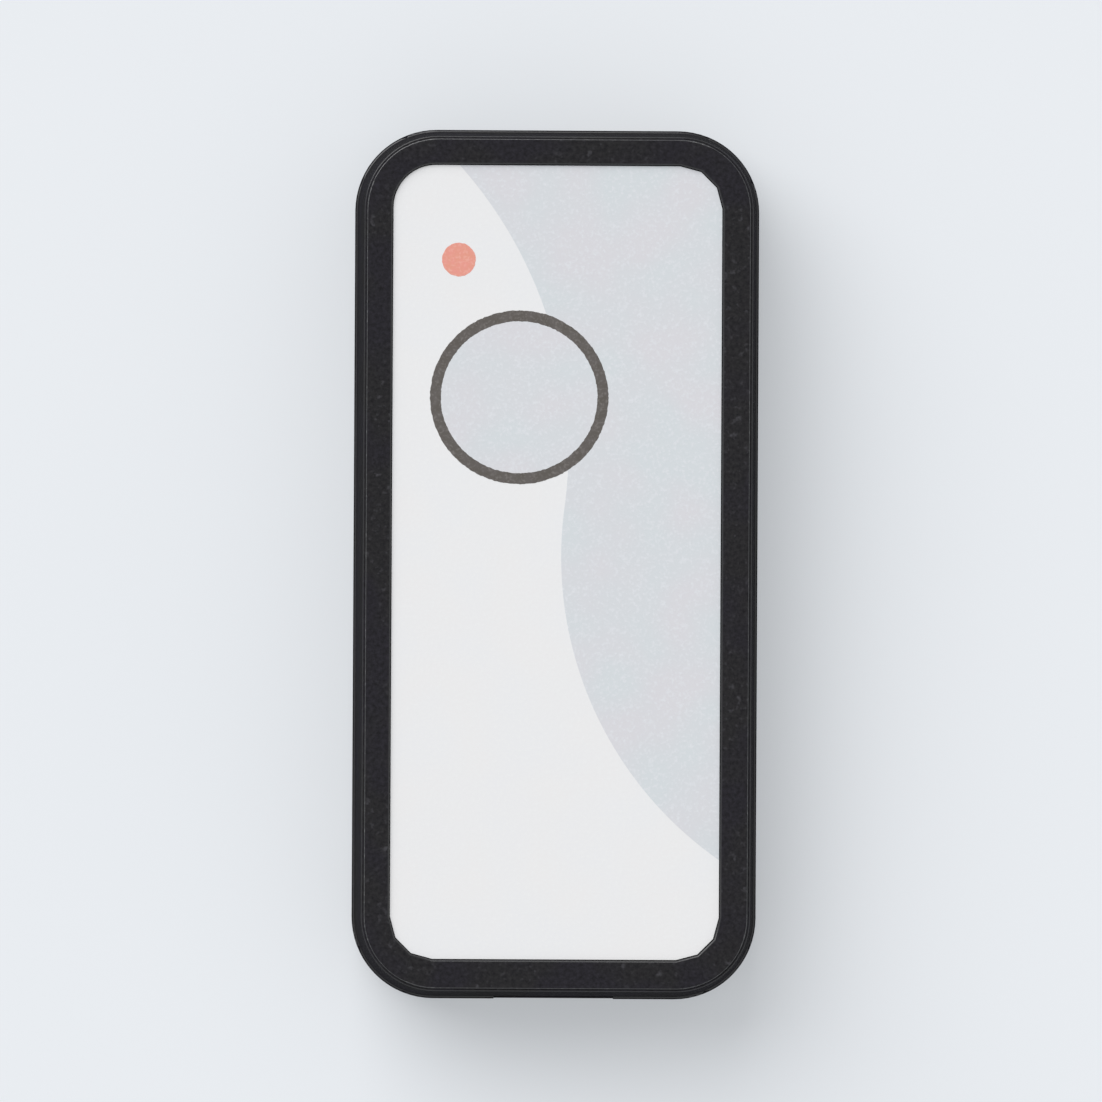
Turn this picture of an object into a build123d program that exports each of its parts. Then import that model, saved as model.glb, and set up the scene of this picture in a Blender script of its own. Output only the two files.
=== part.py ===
from build123d import *
from math import atan2, cos, degrees, radians, sin, sqrt
import os

# A hand-held radio transmitter: a two-part snap case with one round key under a printed
# overlay, a lamp, a circuit board and a coin cell. All sizes are in millimetres.
# The origin is the centre of the back face. +Y points to the lamp end, +Z out of the front.

# Case outline, measured at the joint between the two halves
case_width = 40.6
case_length = 87.2
case_corner_radius = 8.2
side_wall = 2.0
rear_floor = 1.6
front_wall = 1.4
rear_draft = 0.3
front_draft = 0.55
back_edge_radius = 1.5
rim_edge_radius = 0.25

# Steps on the front half: a fine groove at the joint and a ledge round the front face
rim_step = 0.28
groove_chamfer = 0.2
ledge_width = 0.27
ledge_drop = 0.25
ledge_edge_radius = 0.15
face_edge_radius = 0.12

# Pocket for the overlay, a little off the centre of the front face, with a soft round lip
side_bezel = 2.65
end_bezel = 2.7
pocket_shift_x = -0.12
pocket_shift_y = 0.15
pocket_corner_radius = 4.35
pocket_lip_radius = 0.2
overlay_sink = 0.35

# Lip and snap lugs that hold the halves together
lip_thickness = 0.7
lip_height = 1.4
lip_side_clearance = 0.1
lip_top_clearance = 0.15
lug_length = 6.0
lug_proud = 0.25
lug_thickness = 0.6
lug_rise = 0.5
lug_clearance = 0.15
lug_spacing = 44.0

# Notch for a coin in the rear rim, at the end away from the lamp
notch_width = 12.0
notch_depth = 0.9
notch_height = 1.5

# Blank rating label, sunk in the back
rating_width = 25.6
rating_length = 15.6
rating_thickness = 0.1
rating_sink = 0.05
rating_gap = 0.2
rating_corner_radius = 1.0
rating_y = 12.0

# Printed overlay and the adhesive under it. Three of its corners are cut in short facets.
adhesive_thickness = 0.1
film_thickness = 0.25
film_gap = 0.1
film_facets = 3
ink_thickness = 0.05

# Print on the overlay: a grey field behind an S-curve of two tangent arcs, a ring and a dot
upper_arc_x = -41.7
upper_arc_y = 11.2
upper_arc_radius = 42.75
lower_arc_radius = 36.95
arc_joint_angle = -7.45
ring_half_width = 8.92
ring_half_length = 8.68
ring_stroke = 1.08
dot_radius = 1.68

# Key, placed from the left side and from the lamp end
key_from_side = 16.4
key_from_end = 26.95
key_radius = 7.4
key_gap = 0.2
key_edge_radius = 0.3
key_disc_thickness = 1.08
key_boss_height = 0.5
key_boss_radius = 2.0
key_skirt_wall = 1.0
key_rib_thickness = 1.0
key_flange_width = 1.2
key_flange_thickness = 0.9
key_slack = 0.05
key_film_gap = 0.02
key_tab_width = 2.0
key_tab_length = 0.9
key_tab_clearance = 0.2
collar_gap = 0.2
collar_wall = 1.0
collar_height = 1.7

# Circuit board
board_thickness = 1.0
board_side_gap = 0.8
board_end_gap = 2.1
board_lift = 0.3
boss_side_inset = 4.0
boss_end_inset = 5.0
boss_radius = 2.25
boss_pin_radius = 0.8
boss_pin_length = 1.3
boss_pin_clearance = 0.1
front_rib_thickness = 1.0
front_rib_height = 1.5
front_rib_spacing = 12.0
post_radius = 1.5
post_side_inset = 3.0
post_end_inset = 33.5
post_clearance = 0.1

# Screws that hold the board to the front half
screw_radius = 1.0
screw_length = 5.0
screw_head_radius = 1.9
screw_head_height = 1.3
screw_head_edge_radius = 0.5
screw_fit_clearance = 0.01
screw_board_clearance = 0.15
screw_tip_clearance = 0.2
screw_slot_width = 0.4
screw_slot_length = 2.0
screw_slot_depth = 0.7

# Push switch under the key
switch_side = 6.0
switch_height = 4.3
switch_corner_radius = 0.3
switch_cover_thickness = 0.3
switch_cover_inset = 0.05
switch_tab_width = 2.0
switch_tab_length = 1.4
switch_tab_thickness = 0.25
stem_radius = 1.75
stem_proud = 0.9
stem_gap = 0.1
stem_flange_radius = 2.2
stem_flange_thickness = 0.55
stem_flange_slack = 0.05
dome_radius = 2.1
dome_rise = 0.5
dome_thickness = 0.1
well_gap = 0.2
terminal_width = 0.7
terminal_thickness = 0.2
terminal_rise = 0.8
terminal_shoulder = 0.6
terminal_foot = 0.7
terminal_spacing = 4.5

# Lamp, placed from the left side and from the lamp end
lamp_from_side = 10.3
lamp_from_end = 13.2
lamp_radius = 1.5
lamp_flange_radius = 1.9
lamp_flange_height = 1.0
lamp_flat_inset = 0.2
lamp_stand_off = 0.3
lamp_film_gap = 0.2
lamp_hole_gap = 0.2
lamp_window_gap = 0.5
lead_side = 0.5
lead_spacing = 2.54
lead_tail = 0.8
lead_hole_gap = 0.08

# Parts on the rear of the board, placed from its centre line or its right side, and its lamp end
chip_x = 6.0
chip_from_end = 21.5
chip_width = 3.9
chip_length = 8.65
chip_height = 1.5
chip_lead_count = 7
chip_lead_pitch = 1.27
chip_lead_width = 0.42
chip_lead_rise = 0.75
chip_stand_off = 0.1
chip_dimple_radius = 0.4
chip_dimple_inset = 0.9
chip_dimple_depth = 0.1
crystal_x = -8.0
crystal_from_end = 17.5
crystal_length = 11.0
crystal_width = 4.65
crystal_height = 3.4
crystal_rim = 0.25
crystal_rim_height = 0.4
resonator_x = 6.0
resonator_from_end = 9.0
resonator_radius = 4.15
resonator_height = 3.3
resonator_rim = 0.45
resonator_rim_height = 0.5
transistor_x = -3.0
transistor_from_end = 9.0
transistor_width = 1.3
transistor_length = 2.9
transistor_height = 1.0
transistor_lead_width = 0.4
transistor_lead_rise = 0.5
transistor_lead_spacing = 1.9
small_lead_thickness = 0.15
small_lead_shoulder = 0.35
small_lead_foot = 0.4
tantalum_x = -10.5
tantalum_from_end = 25.5
tantalum_length = 3.2
tantalum_width = 1.8
tantalum_height = 1.6
chip_part_length = 2.0
chip_part_width = 1.25
chip_part_end = 0.35
resistor_height = 0.5
capacitor_height = 0.9
resistor_from_side = 4.5
resistor_from_end = 18.0
resistor_pitch = 3.0
resistor_count = 5
capacitor_x = -2.0
capacitor_from_end = 22.5
capacitor_pitch = 3.0
capacitor_count = 4
antenna_span = 18.0
antenna_from_end = 2.0
antenna_wire_radius = 0.45
antenna_drop = 2.6
antenna_bend_radius = 1.2
antenna_tail = 0.3
antenna_hole_gap = 0.1
solder_base_radius = 0.95
solder_top_radius = 0.62
solder_height = 0.5

# Coin cell, its holder and its two contacts
cell_radius = 10.0
cell_height = 3.2
cell_from_end = 26.6
can_wall = 0.65
can_floor = 0.25
can_mark_length = 5.0
can_mark_width = 0.9
can_mark_depth = 0.06
can_mark_y = 5.2
gasket_wall = 0.5
cap_wall = 0.25
cap_proud = 0.2
gasket_proud = 0.1
lithium_thickness = 0.6
cell_rib_height = 0.9
cell_rib_clearance = 0.1
cell_rib_thickness = 1.2
cell_rib_margin = 1.5
contact_space = 0.7
contact_gap = 0.03
holder_gap = 0.2
holder_wall = 1.2
holder_overhang = 0.2
holder_pin_radius = 0.4
holder_pin_length = 0.8
holder_pin_clearance = 0.05
holder_thumb_width = 8.0
holder_thumb_height = 1.6
negative_sheet = 0.2
negative_hub_radius = 3.4
negative_finger_width = 1.6
negative_finger_inset = 1.8
positive_sheet = 0.3
positive_width = 5.0
positive_foot = 2.6
positive_side_gap = 0.05
positive_slot_gap = 0.3
positive_bottom_inset = 0.6

# Heights, stacked up from the back: floor, cell, board, switch, key, overlay
cell_bottom = rear_floor + cell_rib_height + cell_rib_clearance
cell_top = cell_bottom + cell_height
board_rear = cell_top + contact_space
board_front = board_rear + board_thickness
parting_height = board_rear - board_lift
stem_tip = board_front + switch_height
key_underside = stem_tip + key_boss_height
key_top = key_underside + key_disc_thickness
film_bottom = key_top + key_film_gap
film_top = film_bottom + film_thickness
pocket_floor = film_bottom - adhesive_thickness
ceiling = pocket_floor - front_wall
case_height = film_top + overlay_sink
ledge_height = case_height - ledge_drop

# Plan sizes that follow from the case outline
cavity_width = case_width - 2 * side_wall
cavity_length = case_length - 2 * side_wall
cavity_corner_radius = case_corner_radius - side_wall
face_inset = rim_step + front_draft + ledge_width
face_width = case_width - 2 * face_inset
face_length = case_length - 2 * face_inset
face_corner_radius = case_corner_radius - face_inset
pocket_width = face_width - 2 * side_bezel
pocket_length = face_length - 2 * end_bezel
film_width = pocket_width - 2 * film_gap
film_length = pocket_length - 2 * film_gap
film_corner_radius = pocket_corner_radius - film_gap
board_width = cavity_width - 2 * board_side_gap
board_length = cavity_length - 2 * board_end_gap
board_corner_radius = cavity_corner_radius - board_side_gap
boss_x = board_width / 2 - boss_side_inset
boss_y = board_length / 2 - boss_end_inset
key_x = key_from_side - case_width / 2
key_y = case_length / 2 - key_from_end
lamp_x = lamp_from_side - case_width / 2
lamp_y = case_length / 2 - lamp_from_end
cell_y = cell_from_end - case_length / 2
key_flange_radius = key_radius + key_flange_width
key_flange_top = ceiling - key_slack
key_flange_bottom = key_flange_top - key_flange_thickness
switch_cover_top = stem_tip - stem_proud
switch_base_top = switch_cover_top - switch_cover_thickness
stem_bottom = switch_base_top - stem_flange_slack - stem_flange_thickness
well_floor = stem_bottom - dome_rise - dome_thickness
holder_inner_radius = cell_radius + holder_gap
holder_outer_radius = holder_inner_radius + holder_wall
screw_corners = [(boss_x, boss_y), (-boss_x, -boss_y)]
pin_corners = [(-boss_x, boss_y), (boss_x, -boss_y)]
holder_pin_angles = (120, 240)


def plate(width, length, radius, bottom, top, x=0.0, y=0.0):
    """A flat plate with rounded corners between two heights."""
    outline = Pos(x, y, bottom) * RectangleRounded(width, length, radius)
    return extrude(outline, top - bottom)


def disc(radius, bottom, top, x=0.0, y=0.0):
    """A round disc or post between two heights."""
    return Pos(x, y, (bottom + top) / 2) * Cylinder(radius, top - bottom)


def block(width, length, bottom, top, x=0.0, y=0.0):
    """A square-edged block between two heights."""
    return Pos(x, y, (bottom + top) / 2) * Box(width, length, top - bottom)


def draft_angle(draft, height):
    """The angle at which a wall leans when it moves in by the draft over its height."""
    return degrees(atan2(draft, height))


def ring(outer_radius, inner_radius, bottom, top, x=0.0, y=0.0):
    """A round wall between two heights."""
    return disc(outer_radius, bottom, top, x, y) - disc(inner_radius, bottom, top, x, y)


def on_board(x, from_end):
    """A place on the board, measured from its lamp end."""
    return x, board_length / 2 - from_end


def snap_blocks(length, proud, bottom, top):
    """Blocks on the outer face of the lip: two on each long side and one at each end."""
    lip_half_width = cavity_width / 2 + lip_thickness
    lip_half_length = cavity_length / 2 + lip_thickness
    blocks = []
    for side in (-1, 1):
        blocks.append(block(length, 2 * proud, bottom, top, 0, side * lip_half_length))
        for end in (-1, 1):
            blocks.append(block(2 * proud, length, bottom, top, side * lip_half_width, end * lug_spacing / 2))
    return blocks


def bent_lead(width, thickness, shoulder, foot, start, end):
    """A flat lead that leaves a body along +X at one height and ends in a foot at another.

    The start is the middle of the lead where it leaves the body, and the end is the face
    of the board that the foot lies on."""
    turn = 1 if end < start else -1
    top = start + turn * thickness / 2
    bottom = top - turn * thickness
    foot_top = end + turn * thickness
    outline = Polygon(
        (0, bottom), (0, top), (shoulder, top), (shoulder, foot_top),
        (shoulder + foot, foot_top), (shoulder + foot, end), (shoulder - thickness, end),
        (shoulder - thickness, bottom), align=None,
    )
    return extrude(Plane.XZ * outline, width / 2, both=True)


def rear_case():
    """The rear half: a drafted tray with a lip that the front half slips over."""
    outline = Pos(0, 0, parting_height) * RectangleRounded(case_width, case_length, case_corner_radius)
    lean = draft_angle(rear_draft, parting_height)
    tray = extrude(outline, parting_height, dir=(0, 0, -1), taper=lean)
    tray = fillet(tray.edges().group_by(Axis.Z)[0], back_edge_radius)
    tray = fillet(tray.edges().group_by(Axis.Z)[-1], rim_edge_radius)
    lip_top = parting_height + lip_height
    tray += plate(
        cavity_width + 2 * lip_thickness, cavity_length + 2 * lip_thickness,
        cavity_corner_radius + lip_thickness, parting_height, lip_top,
    )
    lug_bottom = parting_height + lug_rise
    tray += snap_blocks(lug_length, lug_proud, lug_bottom, lug_bottom + lug_thickness)
    tray -= plate(cavity_width, cavity_length, cavity_corner_radius, rear_floor, lip_top)
    tray += board_posts() + cell_ribs()
    notch_bottom = parting_height - notch_height
    tray -= block(notch_width, 2 * notch_depth, notch_bottom, parting_height, 0, -case_length / 2)
    tray -= plate(
        rating_width + 2 * rating_gap, rating_length + 2 * rating_gap, rating_corner_radius + rating_gap,
        0, rating_sink + rating_thickness, 0, rating_y,
    )
    return tray


def board_posts():
    """Two posts on the floor of the rear half that back up the board."""
    post_x = board_width / 2 - post_side_inset
    post_y = board_length / 2 - post_end_inset
    post_top = board_rear - post_clearance
    return [disc(post_radius, rear_floor, post_top, side * post_x, post_y) for side in (-1, 1)]


def cell_ribs():
    """Three ribs on the floor of the rear half that keep the coin cell in its holder."""
    reach = cell_radius - cell_rib_margin
    ribs = []
    for step in (-1, 0, 1):
        offset = step * reach / 2
        half_length = sqrt(reach ** 2 - (abs(offset) + cell_rib_thickness / 2) ** 2)
        rib_top = rear_floor + cell_rib_height
        ribs.append(block(2 * half_length, cell_rib_thickness, rear_floor, rib_top, 0, cell_y + offset))
    return ribs


def rating_label():
    """A blank label in its recess in the back."""
    return plate(
        rating_width, rating_length, rating_corner_radius,
        rating_sink, rating_sink + rating_thickness, 0, rating_y,
    )


def front_case():
    """The front half: a drafted cover with a stepped face, bosses and a collar for the key."""
    outline = Pos(0, 0, parting_height) * RectangleRounded(
        case_width - 2 * rim_step, case_length - 2 * rim_step, case_corner_radius - rim_step
    )
    cover_height = ledge_height - parting_height
    cover = extrude(outline, cover_height, taper=draft_angle(front_draft, cover_height))
    cover = fillet(cover.edges().group_by(Axis.Z)[-1], ledge_edge_radius)
    cover = chamfer(cover.edges().group_by(Axis.Z)[0], groove_chamfer)
    face = plate(face_width, face_length, face_corner_radius, ledge_height, case_height)
    face = fillet(face.edges().group_by(Axis.Z)[-1], face_edge_radius)
    face -= pocket(ledge_height, case_height)
    pocket_rim = face.faces().sort_by(Axis.Z)[-1].inner_wires()[0].edges()
    cover += fillet(pocket_rim, pocket_lip_radius)
    cover -= plate(cavity_width, cavity_length, cavity_corner_radius, parting_height, ceiling)
    lip_space = lip_thickness + lip_side_clearance
    cover -= plate(
        cavity_width + 2 * lip_space, cavity_length + 2 * lip_space, cavity_corner_radius + lip_space,
        parting_height, parting_height + lip_height + lip_top_clearance,
    )
    lug_bottom = parting_height + lug_rise
    cover -= snap_blocks(
        lug_length + 2 * lug_clearance, lug_proud + lug_clearance,
        lug_bottom - lug_clearance, lug_bottom + lug_thickness + lug_clearance,
    )
    cover -= pocket(pocket_floor, ledge_height)
    cover += key_collar()
    cover += front_ribs()
    cover -= disc(key_radius + key_gap, ceiling, pocket_floor, key_x, key_y)
    cover -= disc(lamp_radius + lamp_hole_gap, ceiling, pocket_floor, lamp_x, lamp_y)
    for x, y in screw_corners:
        cover += disc(boss_radius, board_front, ceiling, x, y)
        hole_top = board_rear + screw_length + screw_tip_clearance
        cover -= disc(screw_radius + screw_fit_clearance, board_front, hole_top, x, y)
    for x, y in pin_corners:
        cover += disc(boss_radius, board_front, ceiling, x, y)
        cover += disc(boss_pin_radius, board_front - boss_pin_length, board_front, x, y)
    return cover


def pocket(bottom, top):
    """The room that the overlay's pocket takes between two heights: the overlay and its gap."""
    outline = offset(overlay_outline(), amount=film_gap, kind=Kind.INTERSECTION)
    return extrude(Pos(0, 0, bottom) * outline, top - bottom)


def key_collar():
    """The collar that guides the key's flange, with a slot for the flange's tab."""
    inner_radius = key_flange_radius + collar_gap
    collar_bottom = ceiling - collar_height
    collar = ring(inner_radius + collar_wall, inner_radius, collar_bottom, ceiling, key_x, key_y)
    slot_width = key_tab_width + 2 * key_tab_clearance
    slot_y = key_y - inner_radius - collar_wall / 2
    return collar - block(slot_width, 2 * collar_wall, collar_bottom, ceiling, key_x, slot_y)


def front_ribs():
    """Two ribs across the inside of the front half, beside the coin cell."""
    rib_bottom = ceiling - front_rib_height
    rib_places = [cell_y + side * front_rib_spacing / 2 for side in (-1, 1)]
    return [block(cavity_width, front_rib_thickness, rib_bottom, ceiling, 0, y) for y in rib_places]


def overlay_outline():
    """The flat outline of the overlay, which fills its pocket but for a hair's gap.

    The corner by the lamp is round, and the other three are cut in facets."""
    points = []
    for quarter, (side, end) in enumerate([(1, 1), (-1, 1), (-1, -1), (1, -1)]):
        centre_x = side * (film_width / 2 - film_corner_radius)
        centre_y = end * (film_length / 2 - film_corner_radius)
        by_lamp = side < 0 < end
        if by_lamp:
            points.append((side * film_width / 2, end * film_length / 2))
            continue
        for facet in range(film_facets + 1):
            angle = radians(90 * (quarter + facet / film_facets))
            x = centre_x + film_corner_radius * cos(angle)
            y = centre_y + film_corner_radius * sin(angle)
            points.append((x, y))
    outline = Polygon(*points, align=None)
    lamp_corner = outline.vertices().group_by(Axis.X)[0].sort_by(Axis.Y)[-1]
    return Pos(pocket_shift_x, pocket_shift_y) * fillet(lamp_corner, film_corner_radius)


def overlay_plate(bottom, top):
    """The outline of the overlay between two heights."""
    return extrude(Pos(0, 0, bottom) * overlay_outline(), top - bottom)


def overlay_adhesive():
    """The adhesive sheet under the overlay, open over the key and over the lamp."""
    sheet = overlay_plate(pocket_floor, film_bottom)
    sheet -= disc(key_radius + 2 * key_gap, pocket_floor, film_bottom, key_x, key_y)
    return sheet - disc(lamp_radius + lamp_window_gap, pocket_floor, film_bottom, lamp_x, lamp_y)


def print_layer(outline):
    """Ink let into the top of the overlay over a flat outline."""
    return extrude(Pos(0, 0, film_top - ink_thickness) * outline, ink_thickness)


def ring_oval(inset):
    """The slightly oval outline of the printed ring, moved in by an inset."""
    return Pos(key_x, key_y) * Ellipse(ring_half_width - inset, ring_half_length - inset)


def dot_round():
    """The round outline of the printed dot, over the lamp."""
    return Pos(lamp_x, lamp_y) * Circle(dot_radius)


def grey_field():
    """The flat outline of the printed grey field, to the right of the S-curve."""
    angle = radians(arc_joint_angle)
    joint_x = upper_arc_x + upper_arc_radius * cos(angle)
    joint_y = upper_arc_y + upper_arc_radius * sin(angle)
    lower_arc_x = joint_x + lower_arc_radius * cos(angle)
    lower_arc_y = joint_y + lower_arc_radius * sin(angle)
    above = Pos(0, joint_y + film_length / 2) * Rectangle(2 * film_width, film_length)
    below = Pos(0, joint_y - film_length / 2) * Rectangle(2 * film_width, film_length)
    white_above = Pos(upper_arc_x, upper_arc_y) * Circle(upper_arc_radius)
    grey_below = Pos(lower_arc_x, lower_arc_y) * Circle(lower_arc_radius)
    outline = overlay_outline()
    return ((outline & above) - white_above) + (outline & below & grey_below)


def grey_print():
    """Grey ink: the field beside the S-curve, clear of the ring and the dot, and the ring's disc."""
    return print_layer((grey_field() - ring_oval(0) - dot_round()) + ring_oval(ring_stroke))


def ring_print():
    """Dark ink: the ring that shows where to press."""
    return print_layer(ring_oval(0) - ring_oval(ring_stroke))


def dot_print():
    """Red ink over the lamp."""
    return print_layer(dot_round())


def overlay_film():
    """The white overlay, with room for its ink."""
    return overlay_plate(film_bottom, film_top) - grey_print() - ring_print() - dot_print()


def key_cap():
    """The key under the overlay: a disc with a skirt, a flange that keeps it in, and a boss."""
    cap = disc(key_radius, key_flange_bottom, key_top, key_x, key_y)
    cap = fillet(cap.edges().group_by(Axis.Z)[-1], key_edge_radius)
    cap += disc(key_flange_radius, key_flange_bottom, key_flange_top, key_x, key_y)
    cap += block(
        key_tab_width, 2 * key_tab_length, key_flange_bottom, key_flange_top, key_x, key_y - key_flange_radius
    )
    inner_radius = key_radius - key_skirt_wall
    cap -= disc(inner_radius, key_flange_bottom, key_underside, key_x, key_y)
    cap += block(2 * inner_radius, key_rib_thickness, stem_tip, key_underside, key_x, key_y)
    cap += block(key_rib_thickness, 2 * inner_radius, stem_tip, key_underside, key_x, key_y)
    return cap + disc(key_boss_radius, stem_tip, key_underside, key_x, key_y)


def circuit_board():
    """The board, with holes for its screws, the locating pins and every wire."""
    board = plate(board_width, board_length, board_corner_radius, board_rear, board_front)
    for x, y in screw_corners:
        board -= disc(screw_radius + screw_board_clearance, board_rear, board_front, x, y)
    for x, y in pin_corners:
        board -= disc(boss_pin_radius + boss_pin_clearance, board_rear, board_front, x, y)
    for x, y in lamp_lead_places():
        board -= disc(lead_side / sqrt(2) + lead_hole_gap, board_rear, board_front, x, y)
    for x, y in antenna_ends():
        board -= disc(antenna_wire_radius + antenna_hole_gap, board_rear, board_front, x, y)
    for x, y in holder_pin_places():
        board -= disc(holder_pin_radius + holder_pin_clearance, board_rear, board_front, x, y)
    return board


def board_screws():
    """Two pan-head screws, driven from the rear of the board into the front half."""
    screws = Part()
    head_bottom = board_rear - screw_head_height
    for x, y in screw_corners:
        head = disc(screw_head_radius, head_bottom, board_rear, x, y)
        head = fillet(head.edges().group_by(Axis.Z)[0], screw_head_edge_radius)
        for width, length in ((screw_slot_width, screw_slot_length), (screw_slot_length, screw_slot_width)):
            head -= block(width, length, head_bottom, head_bottom + screw_slot_depth, x, y)
        screws += head + disc(screw_radius, board_rear, board_rear + screw_length, x, y)
    return screws


def switch_base():
    """The moulded base of the push switch, with a well for the dome."""
    base = plate(switch_side, switch_side, switch_corner_radius, board_front, switch_base_top, key_x, key_y)
    well_radius = max(dome_radius, stem_flange_radius) + well_gap
    return base - disc(well_radius, well_floor, switch_base_top, key_x, key_y)


def switch_cover():
    """The steel cover plate of the push switch, with a tab bent down each side."""
    side = switch_side - 2 * switch_cover_inset
    cover = plate(side, side, switch_corner_radius, switch_base_top, switch_cover_top, key_x, key_y)
    tab_x = (switch_side + switch_tab_thickness) / 2
    arm_length = switch_cover_inset + switch_tab_thickness + switch_corner_radius
    for way in (-1, 1):
        arm_x = key_x + way * (switch_side / 2 + switch_tab_thickness - arm_length / 2)
        cover += block(arm_length, switch_tab_width, switch_base_top, switch_cover_top, arm_x, key_y)
        tab_bottom = switch_base_top - switch_tab_length
        cover += block(
            switch_tab_thickness, switch_tab_width, tab_bottom, switch_cover_top, key_x + way * tab_x, key_y
        )
    return cover - disc(stem_radius + stem_gap, switch_base_top, switch_cover_top, key_x, key_y)


def switch_dome():
    """The sprung steel dome that snaps down when the key is pressed."""
    sphere_radius = (dome_radius ** 2 + dome_rise ** 2) / (2 * dome_rise)
    centre_height = well_floor + dome_rise - sphere_radius
    outer = Pos(key_x, key_y, centre_height + dome_thickness) * Sphere(sphere_radius)
    inner = Pos(key_x, key_y, centre_height) * Sphere(sphere_radius)
    return (outer - inner) & disc(dome_radius, well_floor, stem_bottom, key_x, key_y)


def switch_stem():
    """The plunger of the push switch, between the dome and the key."""
    stem = disc(stem_radius, stem_bottom, stem_tip, key_x, key_y)
    return stem + disc(stem_flange_radius, stem_bottom, stem_bottom + stem_flange_thickness, key_x, key_y)


def switch_terminals():
    """The four soldered terminals of the push switch."""
    terminals = Part()
    lead = bent_lead(
        terminal_width, terminal_thickness, terminal_shoulder, terminal_foot,
        board_front + terminal_rise, board_front,
    )
    for turn in (0, 180):
        for end in (-1, 1):
            place = Pos(key_x, key_y + end * terminal_spacing / 2) * Rot(0, 0, turn) * Pos(switch_side / 2, 0)
            terminals += place * lead
    return terminals


def lamp_lens():
    """The clear body of the lamp: a flange with a flat, a barrel and a round top."""
    lens_bottom = board_front + lamp_stand_off
    dome_centre = film_bottom - lamp_film_gap - lamp_radius
    lens = disc(lamp_flange_radius, lens_bottom, lens_bottom + lamp_flange_height, lamp_x, lamp_y)
    flat_x = lamp_x - 2 * lamp_flange_radius + lamp_flat_inset
    lens -= block(
        2 * lamp_flange_radius, 2 * lamp_flange_radius, lens_bottom, lens_bottom + lamp_flange_height,
        flat_x, lamp_y,
    )
    lens += disc(lamp_radius, lens_bottom, dome_centre, lamp_x, lamp_y)
    return lens + Pos(lamp_x, lamp_y, dome_centre) * Sphere(lamp_radius)


def lamp_lead_places():
    """Where the two leads of the lamp pass through the board."""
    return [(lamp_x + way * lead_spacing / 2, lamp_y) for way in (-1, 1)]


def lamp_leads():
    """The two square leads of the lamp, trimmed behind the board."""
    leads = Part()
    for x, y in lamp_lead_places():
        leads += block(lead_side, lead_side, board_rear - lead_tail, board_front + lamp_stand_off, x, y)
    return leads


def encoder_chip():
    """The moulded body of the encoder chip on the rear of the board, with its first-lead dimple."""
    x, y = on_board(chip_x, chip_from_end)
    top = board_rear - chip_stand_off
    bottom = top - chip_height
    body = block(chip_width, chip_length, bottom, top, x, y)
    dimple_x = x - chip_width / 2 + chip_dimple_inset
    dimple_y = y + chip_length / 2 - chip_dimple_inset
    return body - disc(chip_dimple_radius, bottom, bottom + chip_dimple_depth, dimple_x, dimple_y)


def encoder_leads():
    """The rows of leads down both sides of the encoder chip."""
    x, y = on_board(chip_x, chip_from_end)
    lead = bent_lead(
        chip_lead_width, small_lead_thickness, small_lead_shoulder, small_lead_foot,
        board_rear - chip_lead_rise, board_rear,
    )
    leads = []
    for turn in (0, 180):
        for number in range(chip_lead_count):
            offset = (number - (chip_lead_count - 1) / 2) * chip_lead_pitch
            leads.append(Pos(x, y + offset) * Rot(0, 0, turn) * Pos(chip_width / 2, 0) * lead)
    return Part() + leads


def crystal_can():
    """The pressed steel can of the crystal, with its rolled rim on the board."""
    x, y = on_board(crystal_x, crystal_from_end)
    can_length = crystal_length - 2 * crystal_rim
    can_width = crystal_width - 2 * crystal_rim
    can = extrude(Pos(x, y, board_rear - crystal_height) * SlotOverall(can_length, can_width), crystal_height)
    can = fillet(can.edges().group_by(Axis.Z)[0], crystal_rim)
    rim = Pos(x, y, board_rear - crystal_rim_height) * SlotOverall(crystal_length, crystal_width)
    return can + extrude(rim, crystal_rim_height)


def resonator_can():
    """The round steel can of the resonator that sets the radio frequency."""
    x, y = on_board(resonator_x, resonator_from_end)
    can = disc(resonator_radius, board_rear - resonator_height, board_rear, x, y)
    can = fillet(can.edges().group_by(Axis.Z)[0], resonator_rim)
    return can + disc(resonator_radius + resonator_rim, board_rear - resonator_rim_height, board_rear, x, y)


def transistor_body():
    """The moulded body of the output transistor."""
    x, y = on_board(transistor_x, transistor_from_end)
    top = board_rear - chip_stand_off
    return block(transistor_width, transistor_length, top - transistor_height, top, x, y)


def transistor_leads():
    """The three leads of the output transistor, two on one side and one on the other."""
    x, y = on_board(transistor_x, transistor_from_end)
    lead = bent_lead(
        transistor_lead_width, small_lead_thickness, small_lead_shoulder, small_lead_foot,
        board_rear - transistor_lead_rise, board_rear,
    )
    places = [(0, 0), (180, transistor_lead_spacing / 2), (180, -transistor_lead_spacing / 2)]
    return Part() + [Pos(x, y + offset) * Rot(0, 0, turn) * Pos(transistor_width / 2, 0) * lead
                     for turn, offset in places]


def tantalum_capacitor():
    """The moulded capacitor that steadies the supply."""
    x, y = on_board(tantalum_x, tantalum_from_end)
    return block(tantalum_length, tantalum_width, board_rear - tantalum_height, board_rear, x, y)


def chip_column(x, from_end, pitch, count):
    """The places of a column of small chip parts on the board."""
    return [on_board(x, from_end + number * pitch) for number in range(count)]


def chip_bodies(places, height):
    """The ceramic bodies of a column of chip parts, between their metal ends."""
    length = chip_part_length - 2 * chip_part_end
    return Part() + [block(length, chip_part_width, board_rear - height, board_rear, x, y) for x, y in places]


def resistor_places():
    """Where the chip resistors sit."""
    x = board_width / 2 - resistor_from_side
    return chip_column(x, resistor_from_end, resistor_pitch, resistor_count)


def capacitor_places():
    """Where the chip capacitors sit."""
    return chip_column(capacitor_x, capacitor_from_end, capacitor_pitch, capacitor_count)


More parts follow.
